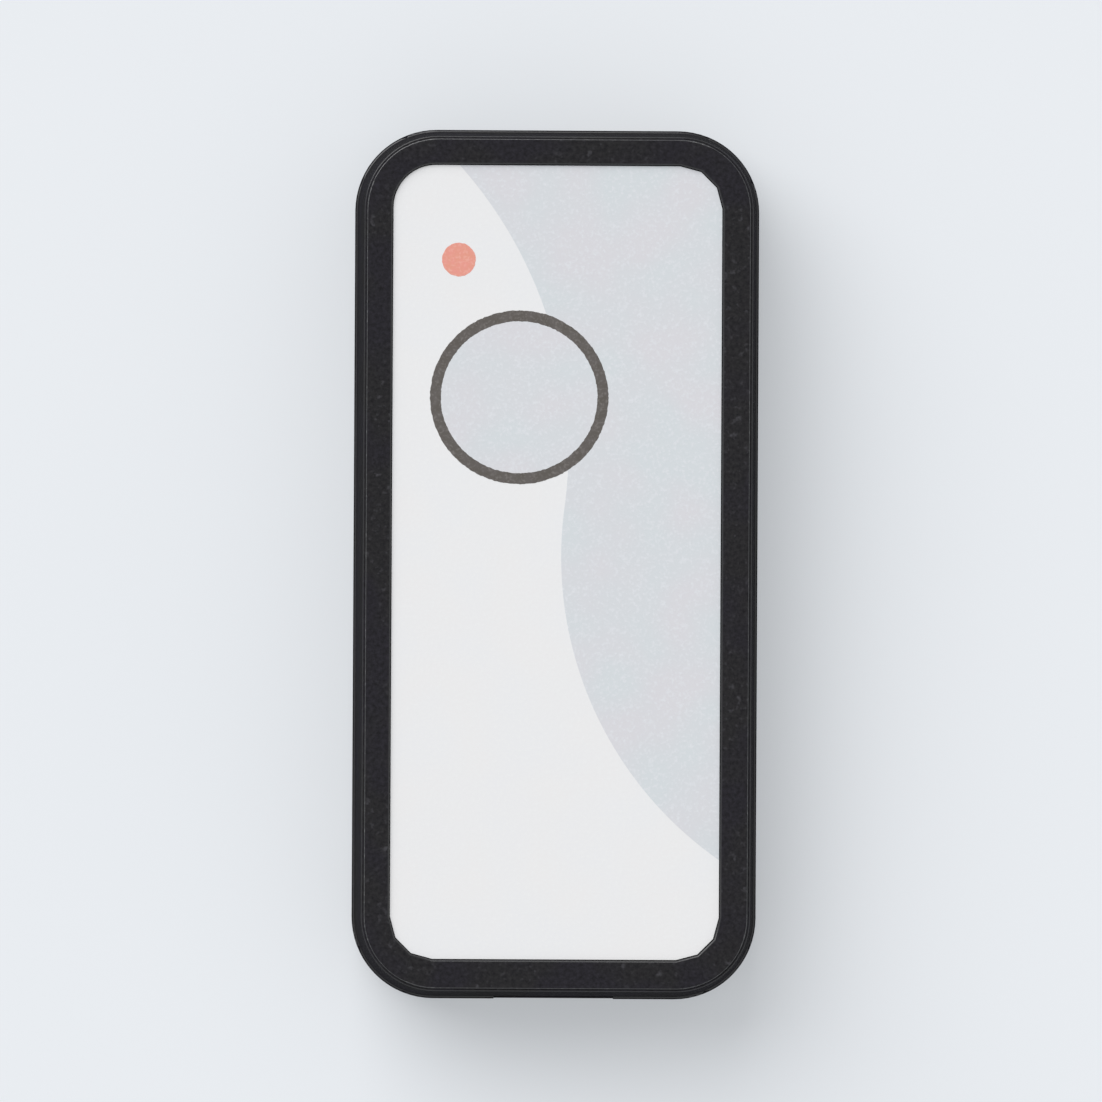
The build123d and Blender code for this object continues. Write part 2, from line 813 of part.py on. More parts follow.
def chip_resistors():
    """The column of chip resistors."""
    return chip_bodies(resistor_places(), resistor_height)


def chip_capacitors():
    """The column of chip capacitors."""
    return chip_bodies(capacitor_places(), capacitor_height)


def chip_ends():
    """The tinned ends of every chip resistor and chip capacitor."""
    offset = (chip_part_length - chip_part_end) / 2
    ends = []
    for places, height in ((resistor_places(), resistor_height), (capacitor_places(), capacitor_height)):
        for x, y in places:
            for way in (-1, 1):
                bottom = board_rear - height
                ends.append(block(chip_part_end, chip_part_width, bottom, board_rear, x + way * offset, y))
    return Part() + ends


def antenna_ends():
    """Where the wire of the loop antenna passes through the board."""
    return [on_board(way * antenna_span / 2, antenna_from_end) for way in (-1, 1)]


def loop_antenna():
    """The loop antenna: one staple of tinned wire on the rear of the board."""
    (left_x, y), (right_x, _) = antenna_ends()
    wire_top = board_front - antenna_tail
    wire_bottom = board_rear - antenna_drop
    path = FilletPolyline(
        (left_x, y, wire_top), (left_x, y, wire_bottom), (right_x, y, wire_bottom), (right_x, y, wire_top),
        radius=antenna_bend_radius,
    )
    section = Pos(left_x, y, wire_top) * Circle(antenna_wire_radius)
    return sweep(section, path)


def solder_joints():
    """Solder fillets behind the board, round the lamp leads and the antenna."""
    middle = board_rear - solder_height / 2
    joints = Part()
    for x, y in lamp_lead_places() + antenna_ends():
        joints += Pos(x, y, middle) * Cone(solder_top_radius, solder_base_radius, solder_height)
    return joints - lamp_leads() - loop_antenna()


def holder_pin_places():
    """Where the pins of the cell holder go through the board."""
    radius = (holder_inner_radius + holder_outer_radius) / 2
    turns = [radians(angle) for angle in holder_pin_angles]
    return [(radius * cos(turn), cell_y + radius * sin(turn)) for turn in turns]


def cell_holder():
    """The open ring that holds the coin cell, with a slot for the side contact."""
    holder_bottom = cell_bottom - holder_overhang
    holder = ring(holder_outer_radius, holder_inner_radius, holder_bottom, board_rear, 0, cell_y)
    slot_width = positive_width + 2 * positive_slot_gap
    holder -= block(holder_outer_radius, slot_width, holder_bottom, board_rear, holder_outer_radius, cell_y)
    thumb_top = holder_bottom + holder_thumb_height
    holder -= block(
        holder_thumb_width, 4 * holder_wall, holder_bottom, thumb_top, 0, cell_y - holder_outer_radius
    )
    for x, y in holder_pin_places():
        holder += disc(holder_pin_radius, board_rear, board_rear + holder_pin_length, x, y)
    return holder


def negative_contact():
    """The sprung contact behind the cell: a hub on the board with three fingers."""
    hub = disc(negative_hub_radius, board_rear - negative_sheet, board_rear, 0, cell_y)
    reach = cell_radius - can_wall - gasket_wall - negative_finger_inset
    tip = cell_top + contact_gap
    outline = Polygon(
        (0, board_rear), (0, board_rear - negative_sheet), (reach, tip),
        (reach, tip + negative_sheet), (negative_hub_radius, board_rear), align=None,
    )
    finger = extrude(Plane.XZ * outline, negative_finger_width / 2, both=True)
    return hub + [Pos(0, cell_y) * Rot(0, 0, turn) * finger for turn in (0, 120, 240)]


def positive_contact():
    """The contact that bears on the side of the cell, with a foot on the board."""
    leaf_x = cell_radius + positive_side_gap + positive_sheet / 2
    leaf_bottom = cell_bottom + positive_bottom_inset
    leaf = block(positive_sheet, positive_width, leaf_bottom, board_rear, leaf_x, cell_y)
    foot_x = cell_radius + positive_side_gap + positive_foot / 2
    foot_bottom = board_rear - positive_sheet
    return leaf + block(positive_foot, positive_width, foot_bottom, board_rear, foot_x, cell_y)


def cell_can():
    """The positive steel can of the coin cell, with a plus sign stamped in its face."""
    can_top = cell_top - cap_proud - gasket_proud
    can = disc(cell_radius, cell_bottom, can_top, 0, cell_y)
    can = fillet(can.edges().group_by(Axis.Z)[0], can_floor)
    for width, length in ((can_mark_length, can_mark_width), (can_mark_width, can_mark_length)):
        can -= block(width, length, cell_bottom, cell_bottom + can_mark_depth, 0, cell_y + can_mark_y)
    return can - disc(cell_radius - can_wall, cell_bottom + can_floor, can_top, 0, cell_y)


def cell_gasket():
    """The nylon gasket between the can and the cap."""
    outer = cell_radius - can_wall
    return ring(outer, outer - gasket_wall, cell_bottom + can_floor, cell_top - cap_proud, 0, cell_y)


def cell_cap():
    """The negative steel cap of the coin cell, an upturned cup."""
    radius = cell_radius - can_wall - gasket_wall
    cap = disc(radius, cell_bottom + can_floor, cell_top, 0, cell_y)
    cap = fillet(cap.edges().group_by(Axis.Z)[-1], cap_wall)
    return cap - disc(radius - cap_wall, cell_bottom + can_floor, cell_top - cap_wall, 0, cell_y)


def cell_filling(bottom, top):
    """A disc that fills the cap of the coin cell between two heights."""
    return disc(cell_radius - can_wall - gasket_wall - cap_wall, bottom, top, 0, cell_y)


def cathode_pellet():
    """The pressed cathode pellet in the coin cell, on the floor of the can."""
    return cell_filling(cell_bottom + can_floor, cell_top - cap_wall - lithium_thickness)


def lithium_disc():
    """The lithium disc in the coin cell, under the cap."""
    return cell_filling(cell_top - cap_wall - lithium_thickness, cell_top - cap_wall)


pieces = [
    rear_case, rating_label, front_case, overlay_adhesive, overlay_film, grey_print, ring_print, dot_print,
    key_cap, circuit_board, board_screws, switch_base, switch_cover, switch_dome, switch_stem,
    switch_terminals, lamp_lens, lamp_leads, encoder_chip, encoder_leads, crystal_can, resonator_can,
    transistor_body, transistor_leads, tantalum_capacitor, chip_resistors, chip_capacitors, chip_ends,
    loop_antenna, solder_joints, cell_holder, negative_contact, positive_contact, cell_can, cell_gasket,
    cell_cap, cathode_pellet, lithium_disc,
]

os.makedirs("parts", exist_ok=True)
for piece in pieces:
    export_step(piece(), f"parts/{piece.__name__}.step")
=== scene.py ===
import bmesh
import bpy
from math import cos, pi, radians, sin, sqrt
from mathutils import Matrix, Vector, noise


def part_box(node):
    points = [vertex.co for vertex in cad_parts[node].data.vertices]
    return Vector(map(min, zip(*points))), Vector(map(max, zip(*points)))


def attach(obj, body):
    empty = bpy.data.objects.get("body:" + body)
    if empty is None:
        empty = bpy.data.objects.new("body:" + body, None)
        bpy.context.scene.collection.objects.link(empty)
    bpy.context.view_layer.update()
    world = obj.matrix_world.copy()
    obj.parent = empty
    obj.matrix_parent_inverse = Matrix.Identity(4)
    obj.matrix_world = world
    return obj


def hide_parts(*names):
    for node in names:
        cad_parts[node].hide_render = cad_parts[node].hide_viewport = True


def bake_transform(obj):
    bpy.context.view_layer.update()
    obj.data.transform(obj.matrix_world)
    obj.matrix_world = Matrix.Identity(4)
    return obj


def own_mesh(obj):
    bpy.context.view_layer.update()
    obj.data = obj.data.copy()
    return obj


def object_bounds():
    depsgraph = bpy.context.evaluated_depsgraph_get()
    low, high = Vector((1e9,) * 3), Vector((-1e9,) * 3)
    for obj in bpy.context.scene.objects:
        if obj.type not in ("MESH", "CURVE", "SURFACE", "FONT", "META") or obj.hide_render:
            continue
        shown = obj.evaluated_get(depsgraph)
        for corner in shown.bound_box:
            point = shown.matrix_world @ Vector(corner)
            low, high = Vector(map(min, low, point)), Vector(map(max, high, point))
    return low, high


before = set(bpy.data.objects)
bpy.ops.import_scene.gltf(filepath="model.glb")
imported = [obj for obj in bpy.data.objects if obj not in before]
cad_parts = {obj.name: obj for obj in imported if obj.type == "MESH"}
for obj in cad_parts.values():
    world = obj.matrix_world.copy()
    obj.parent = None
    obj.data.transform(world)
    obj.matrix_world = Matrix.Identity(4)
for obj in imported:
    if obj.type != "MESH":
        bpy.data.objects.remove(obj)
cad_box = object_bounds()

# Camera: the transmitter lies on its back and is seen from almost straight above. The camera
# stands far off, as on a copy stand, and leans a little to the left and towards the lower end.
mm = 0.001
frame_width = 110.2 * mm
camera_distance = 2.0
camera_lean = Vector((0.5, -1.4, 0.3))
aim = Vector((-0.65 * mm, 1.29 * mm, cad_box[1].z))
camera_data = bpy.data.cameras.new("copy_stand_camera")
camera_data.sensor_width = 36.0
camera_data.lens = camera_data.sensor_width * camera_distance / frame_width
camera_data.clip_start = 0.05
camera_data.clip_end = 50.0
camera = bpy.data.objects.new("copy_stand_camera", camera_data)
camera.rotation_euler = camera_lean * radians(1)
camera.location = aim + camera.rotation_euler.to_matrix() @ Vector((0, 0, camera_distance))
bpy.context.scene.collection.objects.link(camera)
bpy.context.scene.camera = camera
bpy.context.scene.view_settings.view_transform = "Standard"


# Floor and light: a sheet of pale matt card under one broad lamp at the upper left, with even
# light from all round. Together they light a level surface as bright as its colour is written.
# To the eye, and to whatever shines, the room past the card is an even pale backdrop and the
# card glows a little, as on a light table, which keeps the shadow soft.
floor_radius = 8.0
floor_gap = 0.05 * mm
lamp_strength = 2.36
lamp_breadth = radians(60)
lamp_tilt = radians(50)
lamp_bearing = radians(125)
room_strength = 0.52
backdrop_strength = 0.83
glow_share = 0.4
cloud_size = 60


def linear(hex_colour):
    """The linear colour of an sRGB hex value."""
    shares = [int(hex_colour[start:start + 2], 16) / 255 for start in (1, 3, 5)]
    return [c / 12.92 if c <= 0.04045 else ((c + 0.055) / 1.055) ** 2.4 for c in shares] + [1.0]


def add_node(tree, kind, sockets=None, **properties):
    """Adds a node with its properties, and gives each of its named sockets a value or a link."""
    node = tree.nodes.new(kind)
    for name, value in properties.items():
        setattr(node, name, value)
    for name, value in (sockets or {}).items():
        if isinstance(value, bpy.types.NodeSocket):
            tree.links.new(value, node.inputs[name])
        else:
            node.inputs[name].default_value = value
    return node


def new_material(name, finish):
    """A material with one Principled shader, whose own sockets take the finish."""
    material = bpy.data.materials.new(name)
    material.use_nodes = True
    tree = material.node_tree
    tree.nodes.clear()
    shader = add_node(tree, "ShaderNodeBsdfPrincipled", finish)
    add_node(tree, "ShaderNodeOutputMaterial", {"Surface": shader.outputs["BSDF"]})
    return material, tree, shader


def add_object(bm, name, materials):
    """Turns a finished bmesh into an object at the origin, with its faces pointing outwards."""
    bmesh.ops.recalc_face_normals(bm, faces=bm.faces)
    mesh = bpy.data.meshes.new(name)
    bm.to_mesh(mesh)
    bm.free()
    for material in materials:
        mesh.materials.append(material)
    piece = bpy.data.objects.new(name, mesh)
    bpy.context.scene.collection.objects.link(piece)
    return piece


def showing(tree):
    """1 for the rays that show what lies behind: the eye's own, and those off metal or in glass."""
    rays = add_node(tree, "ShaderNodeLightPath").outputs
    shown = rays["Is Camera Ray"]
    for kind in ("Is Glossy Ray", "Is Transmission Ray"):
        shown = add_node(tree, "ShaderNodeMath", {0: shown, 1: rays[kind]}, operation="MAXIMUM").outputs[0]
    return shown


def matt_card():
    """Pale uncoated card: no gloss, with a faint cloudiness, and a glow that lights nothing."""
    material, tree, shader = new_material("matt_card", {"Roughness": 0.9, "Specular IOR Level": 0.1})
    place = add_node(tree, "ShaderNodeTexCoord").outputs["Object"]
    clouds = add_node(
        tree, "ShaderNodeTexNoise", {"Vector": place, "Scale": 1 / (cloud_size * mm), "Detail": 2.0}
    )
    tone = add_node(
        tree, "ShaderNodeMix",
        {"Factor": clouds.outputs["Fac"], "A": linear("#EBEEF2"), "B": linear("#EFF1F4")}, data_type="RGBA",
    )
    tree.links.new(tone.outputs["Result"], shader.inputs["Base Color"])
    share = add_node(tree, "ShaderNodeMath", {0: showing(tree), 1: glow_share}, operation="MULTIPLY")
    glow = add_node(tree, "ShaderNodeEmission", {"Color": linear("#E7EBEF")})
    seen = add_node(
        tree, "ShaderNodeMixShader",
        {0: share.outputs[0], 1: shader.outputs["BSDF"], 2: glow.outputs["Emission"]},
    )
    tree.links.new(seen.outputs["Shader"], tree.nodes["Material Output"].inputs["Surface"])
    return material


bm = bmesh.new()
bmesh.ops.create_circle(bm, cap_ends=True, radius=floor_radius, segments=96)
bmesh.ops.translate(bm, verts=bm.verts, vec=(0, 0, -floor_gap))
floor = add_object(bm, "floor", [matt_card()])

lamp_data = bpy.data.lights.new("broad_lamp", "SUN")
lamp_data.energy = lamp_strength
lamp_data.angle = lamp_breadth
broad_lamp = bpy.data.objects.new("broad_lamp", lamp_data)
broad_lamp.rotation_euler = (lamp_tilt, 0, lamp_bearing + pi / 2)
bpy.context.scene.collection.objects.link(broad_lamp)

room = bpy.data.worlds.new("room")
room.use_nodes = True
room.node_tree.nodes.clear()
strength = add_node(
    room.node_tree, "ShaderNodeMapRange",
    {"Value": showing(room.node_tree), "To Min": room_strength, "To Max": backdrop_strength},
)
light = add_node(
    room.node_tree, "ShaderNodeBackground",
    {"Color": linear("#FBFDFF"), "Strength": strength.outputs["Result"]},
)
add_node(room.node_tree, "ShaderNodeOutputWorld", {"Surface": light.outputs["Background"]})
bpy.context.scene.world = room


# Case: two injection-moulded halves in black ABS that snap together at the joint in the side.
# The mould was spark-eroded, so the plastic has a fine satin grain with soft, rubbed edges. Its
# real grain is about 0.03 mm, too fine to show, so it is drawn some seven times as coarse.
crease_angle = radians(60)
rub_size = 5.0
scuff_size = 0.6
film_low, film_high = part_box("overlay_film")


def merged_copy(node, name):
    """A copy of a CAD node with its triangles joined, so that its round walls shade smoothly."""
    bm = bmesh.new()
    bm.from_mesh(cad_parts[node].data)
    bmesh.ops.remove_doubles(bm, verts=bm.verts, dist=0.001 * mm)
    for face in bm.faces:
        face.smooth = True
    for edge in bm.edges:
        edge.smooth = len(edge.link_faces) == 2 and edge.calc_face_angle() < crease_angle
    copy = add_object(bm, name, [])
    even = copy.modifiers.new("even_shading", "WEIGHTED_NORMAL")
    even.keep_sharp = True
    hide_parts(node)
    return copy


def black_abs(name, pale, dark, grain, relief, finish, onset=0.3, scuffs=None):
    """Black ABS with a fine mottle that drifts between a cool and a neutral tone, the relief of the
    mould's skin and, where hands and tables reach it, clusters of small scuffs.

    The higher the onset, the fewer and smaller its pale spots."""
    material, tree, shader = new_material(name, finish)
    place = add_node(tree, "ShaderNodeTexCoord").outputs["Object"]
    rubs = add_node(
        tree, "ShaderNodeTexNoise", {"Vector": place, "Scale": 1 / (rub_size * mm), "Detail": 1.0}
    )
    rubbed = add_node(
        tree, "ShaderNodeMapRange", {"Value": rubs.outputs["Fac"], "From Min": 0.4, "From Max": 0.6}
    )
    spots = add_node(
        tree, "ShaderNodeMix",
        {"Factor": rubbed.outputs["Result"], "A": linear(pale[0]), "B": linear(pale[1])},
        data_type="RGBA",
    )
    mottle = add_node(
        tree, "ShaderNodeTexNoise",
        {"Vector": place, "Scale": 1 / (2 * grain * mm), "Detail": 3.0, "Roughness": 0.7},
    )
    share = add_node(
        tree, "ShaderNodeMapRange", {"Value": mottle.outputs["Fac"], "From Min": onset, "From Max": 0.8}
    )
    tone = add_node(
        tree, "ShaderNodeMix",
        {"Factor": share.outputs["Result"], "A": linear(dark), "B": spots.outputs["Result"]},
        data_type="RGBA",
    )
    if scuffs:
        nicks = add_node(
            tree, "ShaderNodeTexNoise", {"Vector": place, "Scale": 1 / (scuff_size * mm), "Detail": 2.0}
        )
        nicked = add_node(
            tree, "ShaderNodeMapRange", {"Value": nicks.outputs["Fac"], "From Min": 0.6, "From Max": 0.8}
        )
        worn = add_node(
            tree, "ShaderNodeMath",
            {0: rubbed.outputs["Result"], 1: nicked.outputs["Result"]}, operation="MULTIPLY",
        )
        tone = add_node(
            tree, "ShaderNodeMix",
            {"Factor": worn.outputs[0], "A": tone.outputs["Result"], "B": linear(scuffs)},
            data_type="RGBA",
        )
    tree.links.new(tone.outputs["Result"], shader.inputs["Base Color"])
    pits = add_node(
        tree, "ShaderNodeTexNoise", {"Vector": place, "Scale": 1 / (grain * mm), "Detail": 2.0}
    )
    bump = add_node(
        tree, "ShaderNodeBump",
        {"Height": pits.outputs["Fac"], "Strength": 1.0, "Distance": relief * mm},
    )
    tree.links.new(bump.outputs["Normal"], shader.inputs["Normal"])
    return material


# Spark-eroded ABS: the walls keep the dry, matt skin of the mould
eroded_abs = black_abs(
    "spark_eroded_black_abs", ("#252429", "#242424"), "#1B1A1D", grain=0.2, relief=0.012,
    finish={"Roughness": 0.9, "IOR": 1.5, "Specular IOR Level": 0.02},
)
# Satin ABS: the level faces are rubbed by hands and tables, mottled and lightly scuffed
satin_abs = black_abs(
    "satin_black_abs", ("#2E2C33", "#2F2E2F"), "#131215", grain=0.2, relief=0.015, scuffs="#424145",
    finish={"Roughness": 0.45, "IOR": 1.5, "Specular IOR Level": 0.12},
)
# Rubbed ABS: the rounded edges are worn glossy. Their pale spots are partly rubbed wear and partly a
# painted highlight, a thin bright line broken by scuffs
rubbed_abs_with_painted_highlight = black_abs(
    "rubbed_black_abs_painted_highlight", ("#6A696D", "#696867"), "#17161A", grain=0.25, relief=0.005, onset=0.52,
    finish={"Roughness": 0.3, "IOR": 1.5, "Specular IOR Level": 0.95},
)
# Polished ABS: the pocket was left off the spark eroder, so its walls mirror the pale film, and
# the edges that stand back from the face are smooth but hardly worn
polished_abs = black_abs(
    "polished_black_abs", ("#232227", "#222222"), "#19181B", grain=0.2, relief=0.005,
    finish={"Roughness": 0.2, "IOR": 1.5},
)
# The edge of the face is rubbed, and its pale tone paints part of its bright edge line. The ledge round it
# and the rim of the rear half are only polished, the rim just where it turns level.
ledge_height = 13.75
foot_radius = 1.5
pocket_lip = 0.35
for node, name, body, wall_slope, level_slope in (
    ("front_case", "front_moulding", "front_half", 0.5, 0.97),
    ("rear_case", "rear_moulding", "rear_half", 0.8, 0.999),
):
    moulding = merged_copy(node, name)
    for finish in (eroded_abs, satin_abs, rubbed_abs_with_painted_highlight, polished_abs):
        moulding.data.materials.append(finish)
    for face in moulding.data.polygons:
        slope, spot = abs(face.normal.z), face.center
        in_pocket = spot.z > film_low.z and all(
            low - pocket_lip * mm < at < high + pocket_lip * mm
            for low, at, high in zip(film_low.xy, spot.xy, film_high.xy)
        )
        if slope > level_slope:
            face.material_index = 1
        elif slope > wall_slope and spot.z > foot_radius * mm:
            # Rounded edges by the face take the rubbed finish, whose pale tone is partly wear and partly a
            # painted highlight
            face.material_index = 2 if spot.z > ledge_height * mm else 3
        if in_pocket and slope < level_slope:
            face.material_index = 3
    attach(moulding, body)


# Rating label: a blank label of silvery satin polyester, in a shallow recess in the back.
# It is left bare.
def dress(material, *nodes):
    """Gives CAD nodes their material."""
    for name in nodes:
        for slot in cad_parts[name].material_slots:
            slot.material = material


def surface(name, pale, dark, patch, grain, relief, finish, stretch=(1, 1, 1)):
    """A material in two close tones, with patches, grain and relief in millimetres.

    The stretch squeezes the pattern along an axis, which draws rolling or brushing marks. Real
    grain finer than a tenth of a millimetre wouldn't show, so it is drawn coarser."""
    material, tree, shader = new_material(name, finish)
    place = add_node(tree, "ShaderNodeTexCoord").outputs["Object"]
    place = add_node(tree, "ShaderNodeMapping", {"Vector": place, "Scale": stretch}).outputs["Vector"]
    patches = add_node(
        tree, "ShaderNodeTexNoise", {"Vector": place, "Scale": 1 / (patch * mm), "Detail": 3.0}
    )
    grains = add_node(
        tree, "ShaderNodeTexNoise", {"Vector": place, "Scale": 1 / (grain * mm), "Detail": 2.0}
    )
    both = add_node(
        tree, "ShaderNodeMath",
        {0: patches.outputs["Fac"], 1: grains.outputs["Fac"]}, operation="ADD",
    )
    share = add_node(
        tree, "ShaderNodeMapRange", {"Value": both.outputs[0], "From Min": 0.75, "From Max": 1.25}
    )
    tone = add_node(
        tree, "ShaderNodeMix",
        {"Factor": share.outputs["Result"], "A": linear(pale), "B": linear(dark)}, data_type="RGBA",
    )
    tree.links.new(tone.outputs["Result"], shader.inputs["Base Color"])
    gloss = add_node(
        tree, "ShaderNodeMapRange",
        {"Value": patches.outputs["Fac"], "From Min": 0.3, "From Max": 0.7,
         "To Min": finish["Roughness"] - 0.05, "To Max": finish["Roughness"] + 0.05},
    )
    tree.links.new(gloss.outputs["Result"], shader.inputs["Roughness"])
    bump = add_node(
        tree, "ShaderNodeBump",
        {"Height": grains.outputs["Fac"], "Strength": 1.0, "Distance": relief * mm},
    )
    tree.links.new(bump.outputs["Normal"], shader.inputs["Normal"])
    return material


# Satin polyester: pale, with a faint roll direction
dress(
    surface(
        "satin_polyester", "#D6D7D8", "#CDCFD1", patch=4.0, grain=0.4, relief=0.002,
        finish={"Roughness": 0.45}, stretch=(0.2, 1, 1),
    ),
    "rating_label",
)


# Key: a stiff disc moulded in grey ABS, with a flange that keeps it behind the front wall. It
# lies loose under the overlay, on the stem of the switch.
dress(
    surface(
        "moulded_grey_abs", "#A9ABAD", "#9FA1A4", patch=2.0, grain=0.25, relief=0.006,
        finish={"Roughness": 0.45},
    ),
    "key_cap",
)


# Circuit board: 1 mm glass-epoxy laminate with copper tracks under green solder mask, cut by a
# router, so its edges are bare and straw-coloured. It is screwed to the front half.
weave_pitch = 0.5
cloud_patch = 5.0
weave_relief = 0.002
track_rise = 0.035 * mm


def masked_laminate(name, mask, edge):
    """Solder mask on woven glass: glossy green over a faint weave, with bare straw edges."""
    material, tree, shader = new_material(
        name, {"Roughness": 0.28, "Coat Weight": 0.3, "Coat Roughness": 0.12}
    )
    place = add_node(tree, "ShaderNodeTexCoord").outputs["Object"]
    axes = add_node(tree, "ShaderNodeSeparateXYZ", {"Vector": place}).outputs
    threads = []
    for axis in ("X", "Y"):
        turned = add_node(
            tree, "ShaderNodeMath", {0: axes[axis], 1: 2 * pi / (weave_pitch * mm)}, operation="MULTIPLY"
        )
        wave = add_node(tree, "ShaderNodeMath", {0: turned.outputs[0]}, operation="SINE")
        threads.append(wave.outputs[0])
    weave = add_node(tree, "ShaderNodeMath", {0: threads[0], 1: threads[1]}, operation="MULTIPLY")
    clouds = add_node(
        tree, "ShaderNodeTexNoise", {"Vector": place, "Scale": 1 / (cloud_patch * mm), "Detail": 3.0}
    )
    green = add_node(
        tree, "ShaderNodeMix",
        {"Factor": clouds.outputs["Fac"], "A": linear(mask[0]), "B": linear(mask[1])}, data_type="RGBA",
    )
    normal = add_node(tree, "ShaderNodeNewGeometry").outputs["Normal"]
    facing = add_node(tree, "ShaderNodeSeparateXYZ", {"Vector": normal}).outputs["Z"]
    flat = add_node(tree, "ShaderNodeMath", {0: facing}, operation="ABSOLUTE")
    on_face = add_node(tree, "ShaderNodeMath", {0: flat.outputs[0], 1: 0.5}, operation="GREATER_THAN")
    colour = add_node(
        tree, "ShaderNodeMix",
        {"Factor": on_face.outputs[0], "A": linear(edge), "B": green.outputs["Result"]}, data_type="RGBA",
    )
    tree.links.new(colour.outputs["Result"], shader.inputs["Base Color"])
    bump = add_node(
        tree, "ShaderNodeBump", {"Height": weave.outputs[0], "Strength": 1.0, "Distance": weave_relief * mm}
    )
    tree.links.new(bump.outputs["Normal"], shader.inputs["Normal"])
    return material


def add_ribbon(bm, points, width, height):
    """Adds a flat ribbon along points in millimetres, mitred where it turns, at one height."""
    points = [Vector(point) * mm for point in points]
    edge = None
    for number, point in enumerate(points):
        ways = []
        if number > 0:
            ways.append((point - points[number - 1]).normalized())
        if number < len(points) - 1:
            ways.append((points[number + 1] - point).normalized())
        along = sum(ways, Vector((0, 0))).normalized()
        side = Vector((-along.y, along.x)) * width * mm / 2 / along.dot(ways[0])
        if edge is None:
            ends = [bm.verts.new((*(point + way * side), height)) for way in (1, -1)]
            edge = bm.edges.new(ends)
        else:
            grown = bmesh.ops.extrude_edge_only(bm, edges=[edge])["geom"]
            ends = [item for item in grown if isinstance(item, bmesh.types.BMVert)]
            for vert in ends:
                way = 1 if (vert.co.xy - last_point).dot(last_side) > 0 else -1
                vert.co.xy = point + way * side
            edge = bm.edges.get(ends)
        last_point, last_side = point, side


def add_pad(bm, x, y, width, length, height):
    """Adds a flat rectangle centred on a place in millimetres, at one height."""
    place = Matrix.Translation((x * mm, y * mm, height)) @ Matrix.Diagonal((width * mm, length * mm, 1, 1))
    bmesh.ops.create_grid(bm, x_segments=1, y_segments=1, size=0.5, matrix=place)


def loop_edges(loop):
    """The edges of a loop of vertices, each once and in order."""
    return list(dict.fromkeys(edge for vert in loop for edge in vert.link_edges))


def add_washer(bm, x, y, outer, inner, height, segments=32):
    """Adds a flat ring centred on a place in millimetres, at one height."""
    place = Matrix.Translation((x * mm, y * mm, height))
    edges = []
    for radius in (outer, inner):
        loop = bmesh.ops.create_circle(bm, radius=radius * mm, segments=segments, matrix=place)["verts"]
        edges += loop_edges(loop)
    bmesh.ops.bridge_loops(bm, edges=edges)


def thicken(bm, rise):
    """Gives every flat face in a bmesh a thickness, upwards or downwards."""
    grown = bmesh.ops.extrude_face_region(bm, geom=bm.faces[:])["geom"]
    moved = [item for item in grown if isinstance(item, bmesh.types.BMVert)]
    bmesh.ops.translate(bm, verts=moved, vec=(0, 0, rise))


def centre(node):
    """The middle of a CAD node, seen from the front, in millimetres."""
    low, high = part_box(node)
    return (low.x + high.x) / 2 / mm, (low.y + high.y) / 2 / mm


board_low, board_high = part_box("circuit_board")
# Green solder mask over woven glass, with straw-coloured routed edges
dress(masked_laminate("masked_laminate", ("#0E5A33", "#0A4D2B"), "#A79A62"), "circuit_board")

# Tracks, as the copper lies under the mask: paler green, a little proud
chip_x, chip_y = centre("encoder_chip")
resistor_x, resistor_y = centre("chip_resistors")
capacitor_x, capacitor_y = centre("chip_capacitors")
lamp_x, lamp_y = centre("lamp_lens")
cell_y = centre("cell_can")[1]
lead_pitch = 1.27
column_pitch = 3.0
pad_reach = 2.6
end_reach = 1.0
fan_step = 0.4
left_fan = 5.4
right_fan = 5.2
signal = 0.25
supply = 0.8
ground = 1.6
left_rail = -15.8
middle_rail = -4.6
right_rail = 16.4
rail_joint = left_rail + 0.6
collector = (-1.7, 30.5)
base = (-4.3, 29.55)
emitter = (-4.3, 31.45)
tantalum_ends = [(-12.2, 14.0), (-8.8, 14.0)]
resonator_level = 26.4


def stepped(start, end, middle):
    """A route that runs across, then along at one place across, then across again."""
    rise = abs(end[1] - start[1])
    corner = min(fan_step, rise / 2)
    across = 1 if end[0] > start[0] else -1
    along = 1 if end[1] > start[1] else -1
    straight = []
    if rise > 2 * corner:
        straight = [(middle, start[1] + along * corner), (middle, end[1] - along * corner)]
    return [start, (middle - across * corner, start[1]), *straight, (middle + across * corner, end[1]), end]


lead_heights = [chip_y + (number - 3) * lead_pitch for number in range(7)]
resistor_heights = [resistor_y + (2 - number) * column_pitch for number in range(5)]
capacitor_heights = [capacitor_y + (1.5 - number) * column_pitch for number in range(4)]
routes = []
for number, height in enumerate(resistor_heights):
    start = (chip_x + pad_reach, lead_heights[6 - number])
    middle = chip_x + right_fan - fan_step * number
    routes.append((signal, stepped(start, (resistor_x - end_reach, height), middle)))
    routes.append((signal, [(resistor_x + end_reach, height), (right_rail, height)]))
for number, height in enumerate(capacitor_heights):
    start = (chip_x - pad_reach, lead_heights[5 - number])
    middle = chip_x - left_fan + fan_step * number
    routes.append((signal, stepped(start, (capacitor_x + end_reach, height), middle)))
    routes.append((signal, [(capacitor_x - end_reach, height), (middle_rail, height)]))
right_top, middle_top = resistor_heights[0], capacitor_heights[0]
lamp_left, lamp_right = lamp_x - lead_pitch, lamp_x + lead_pitch
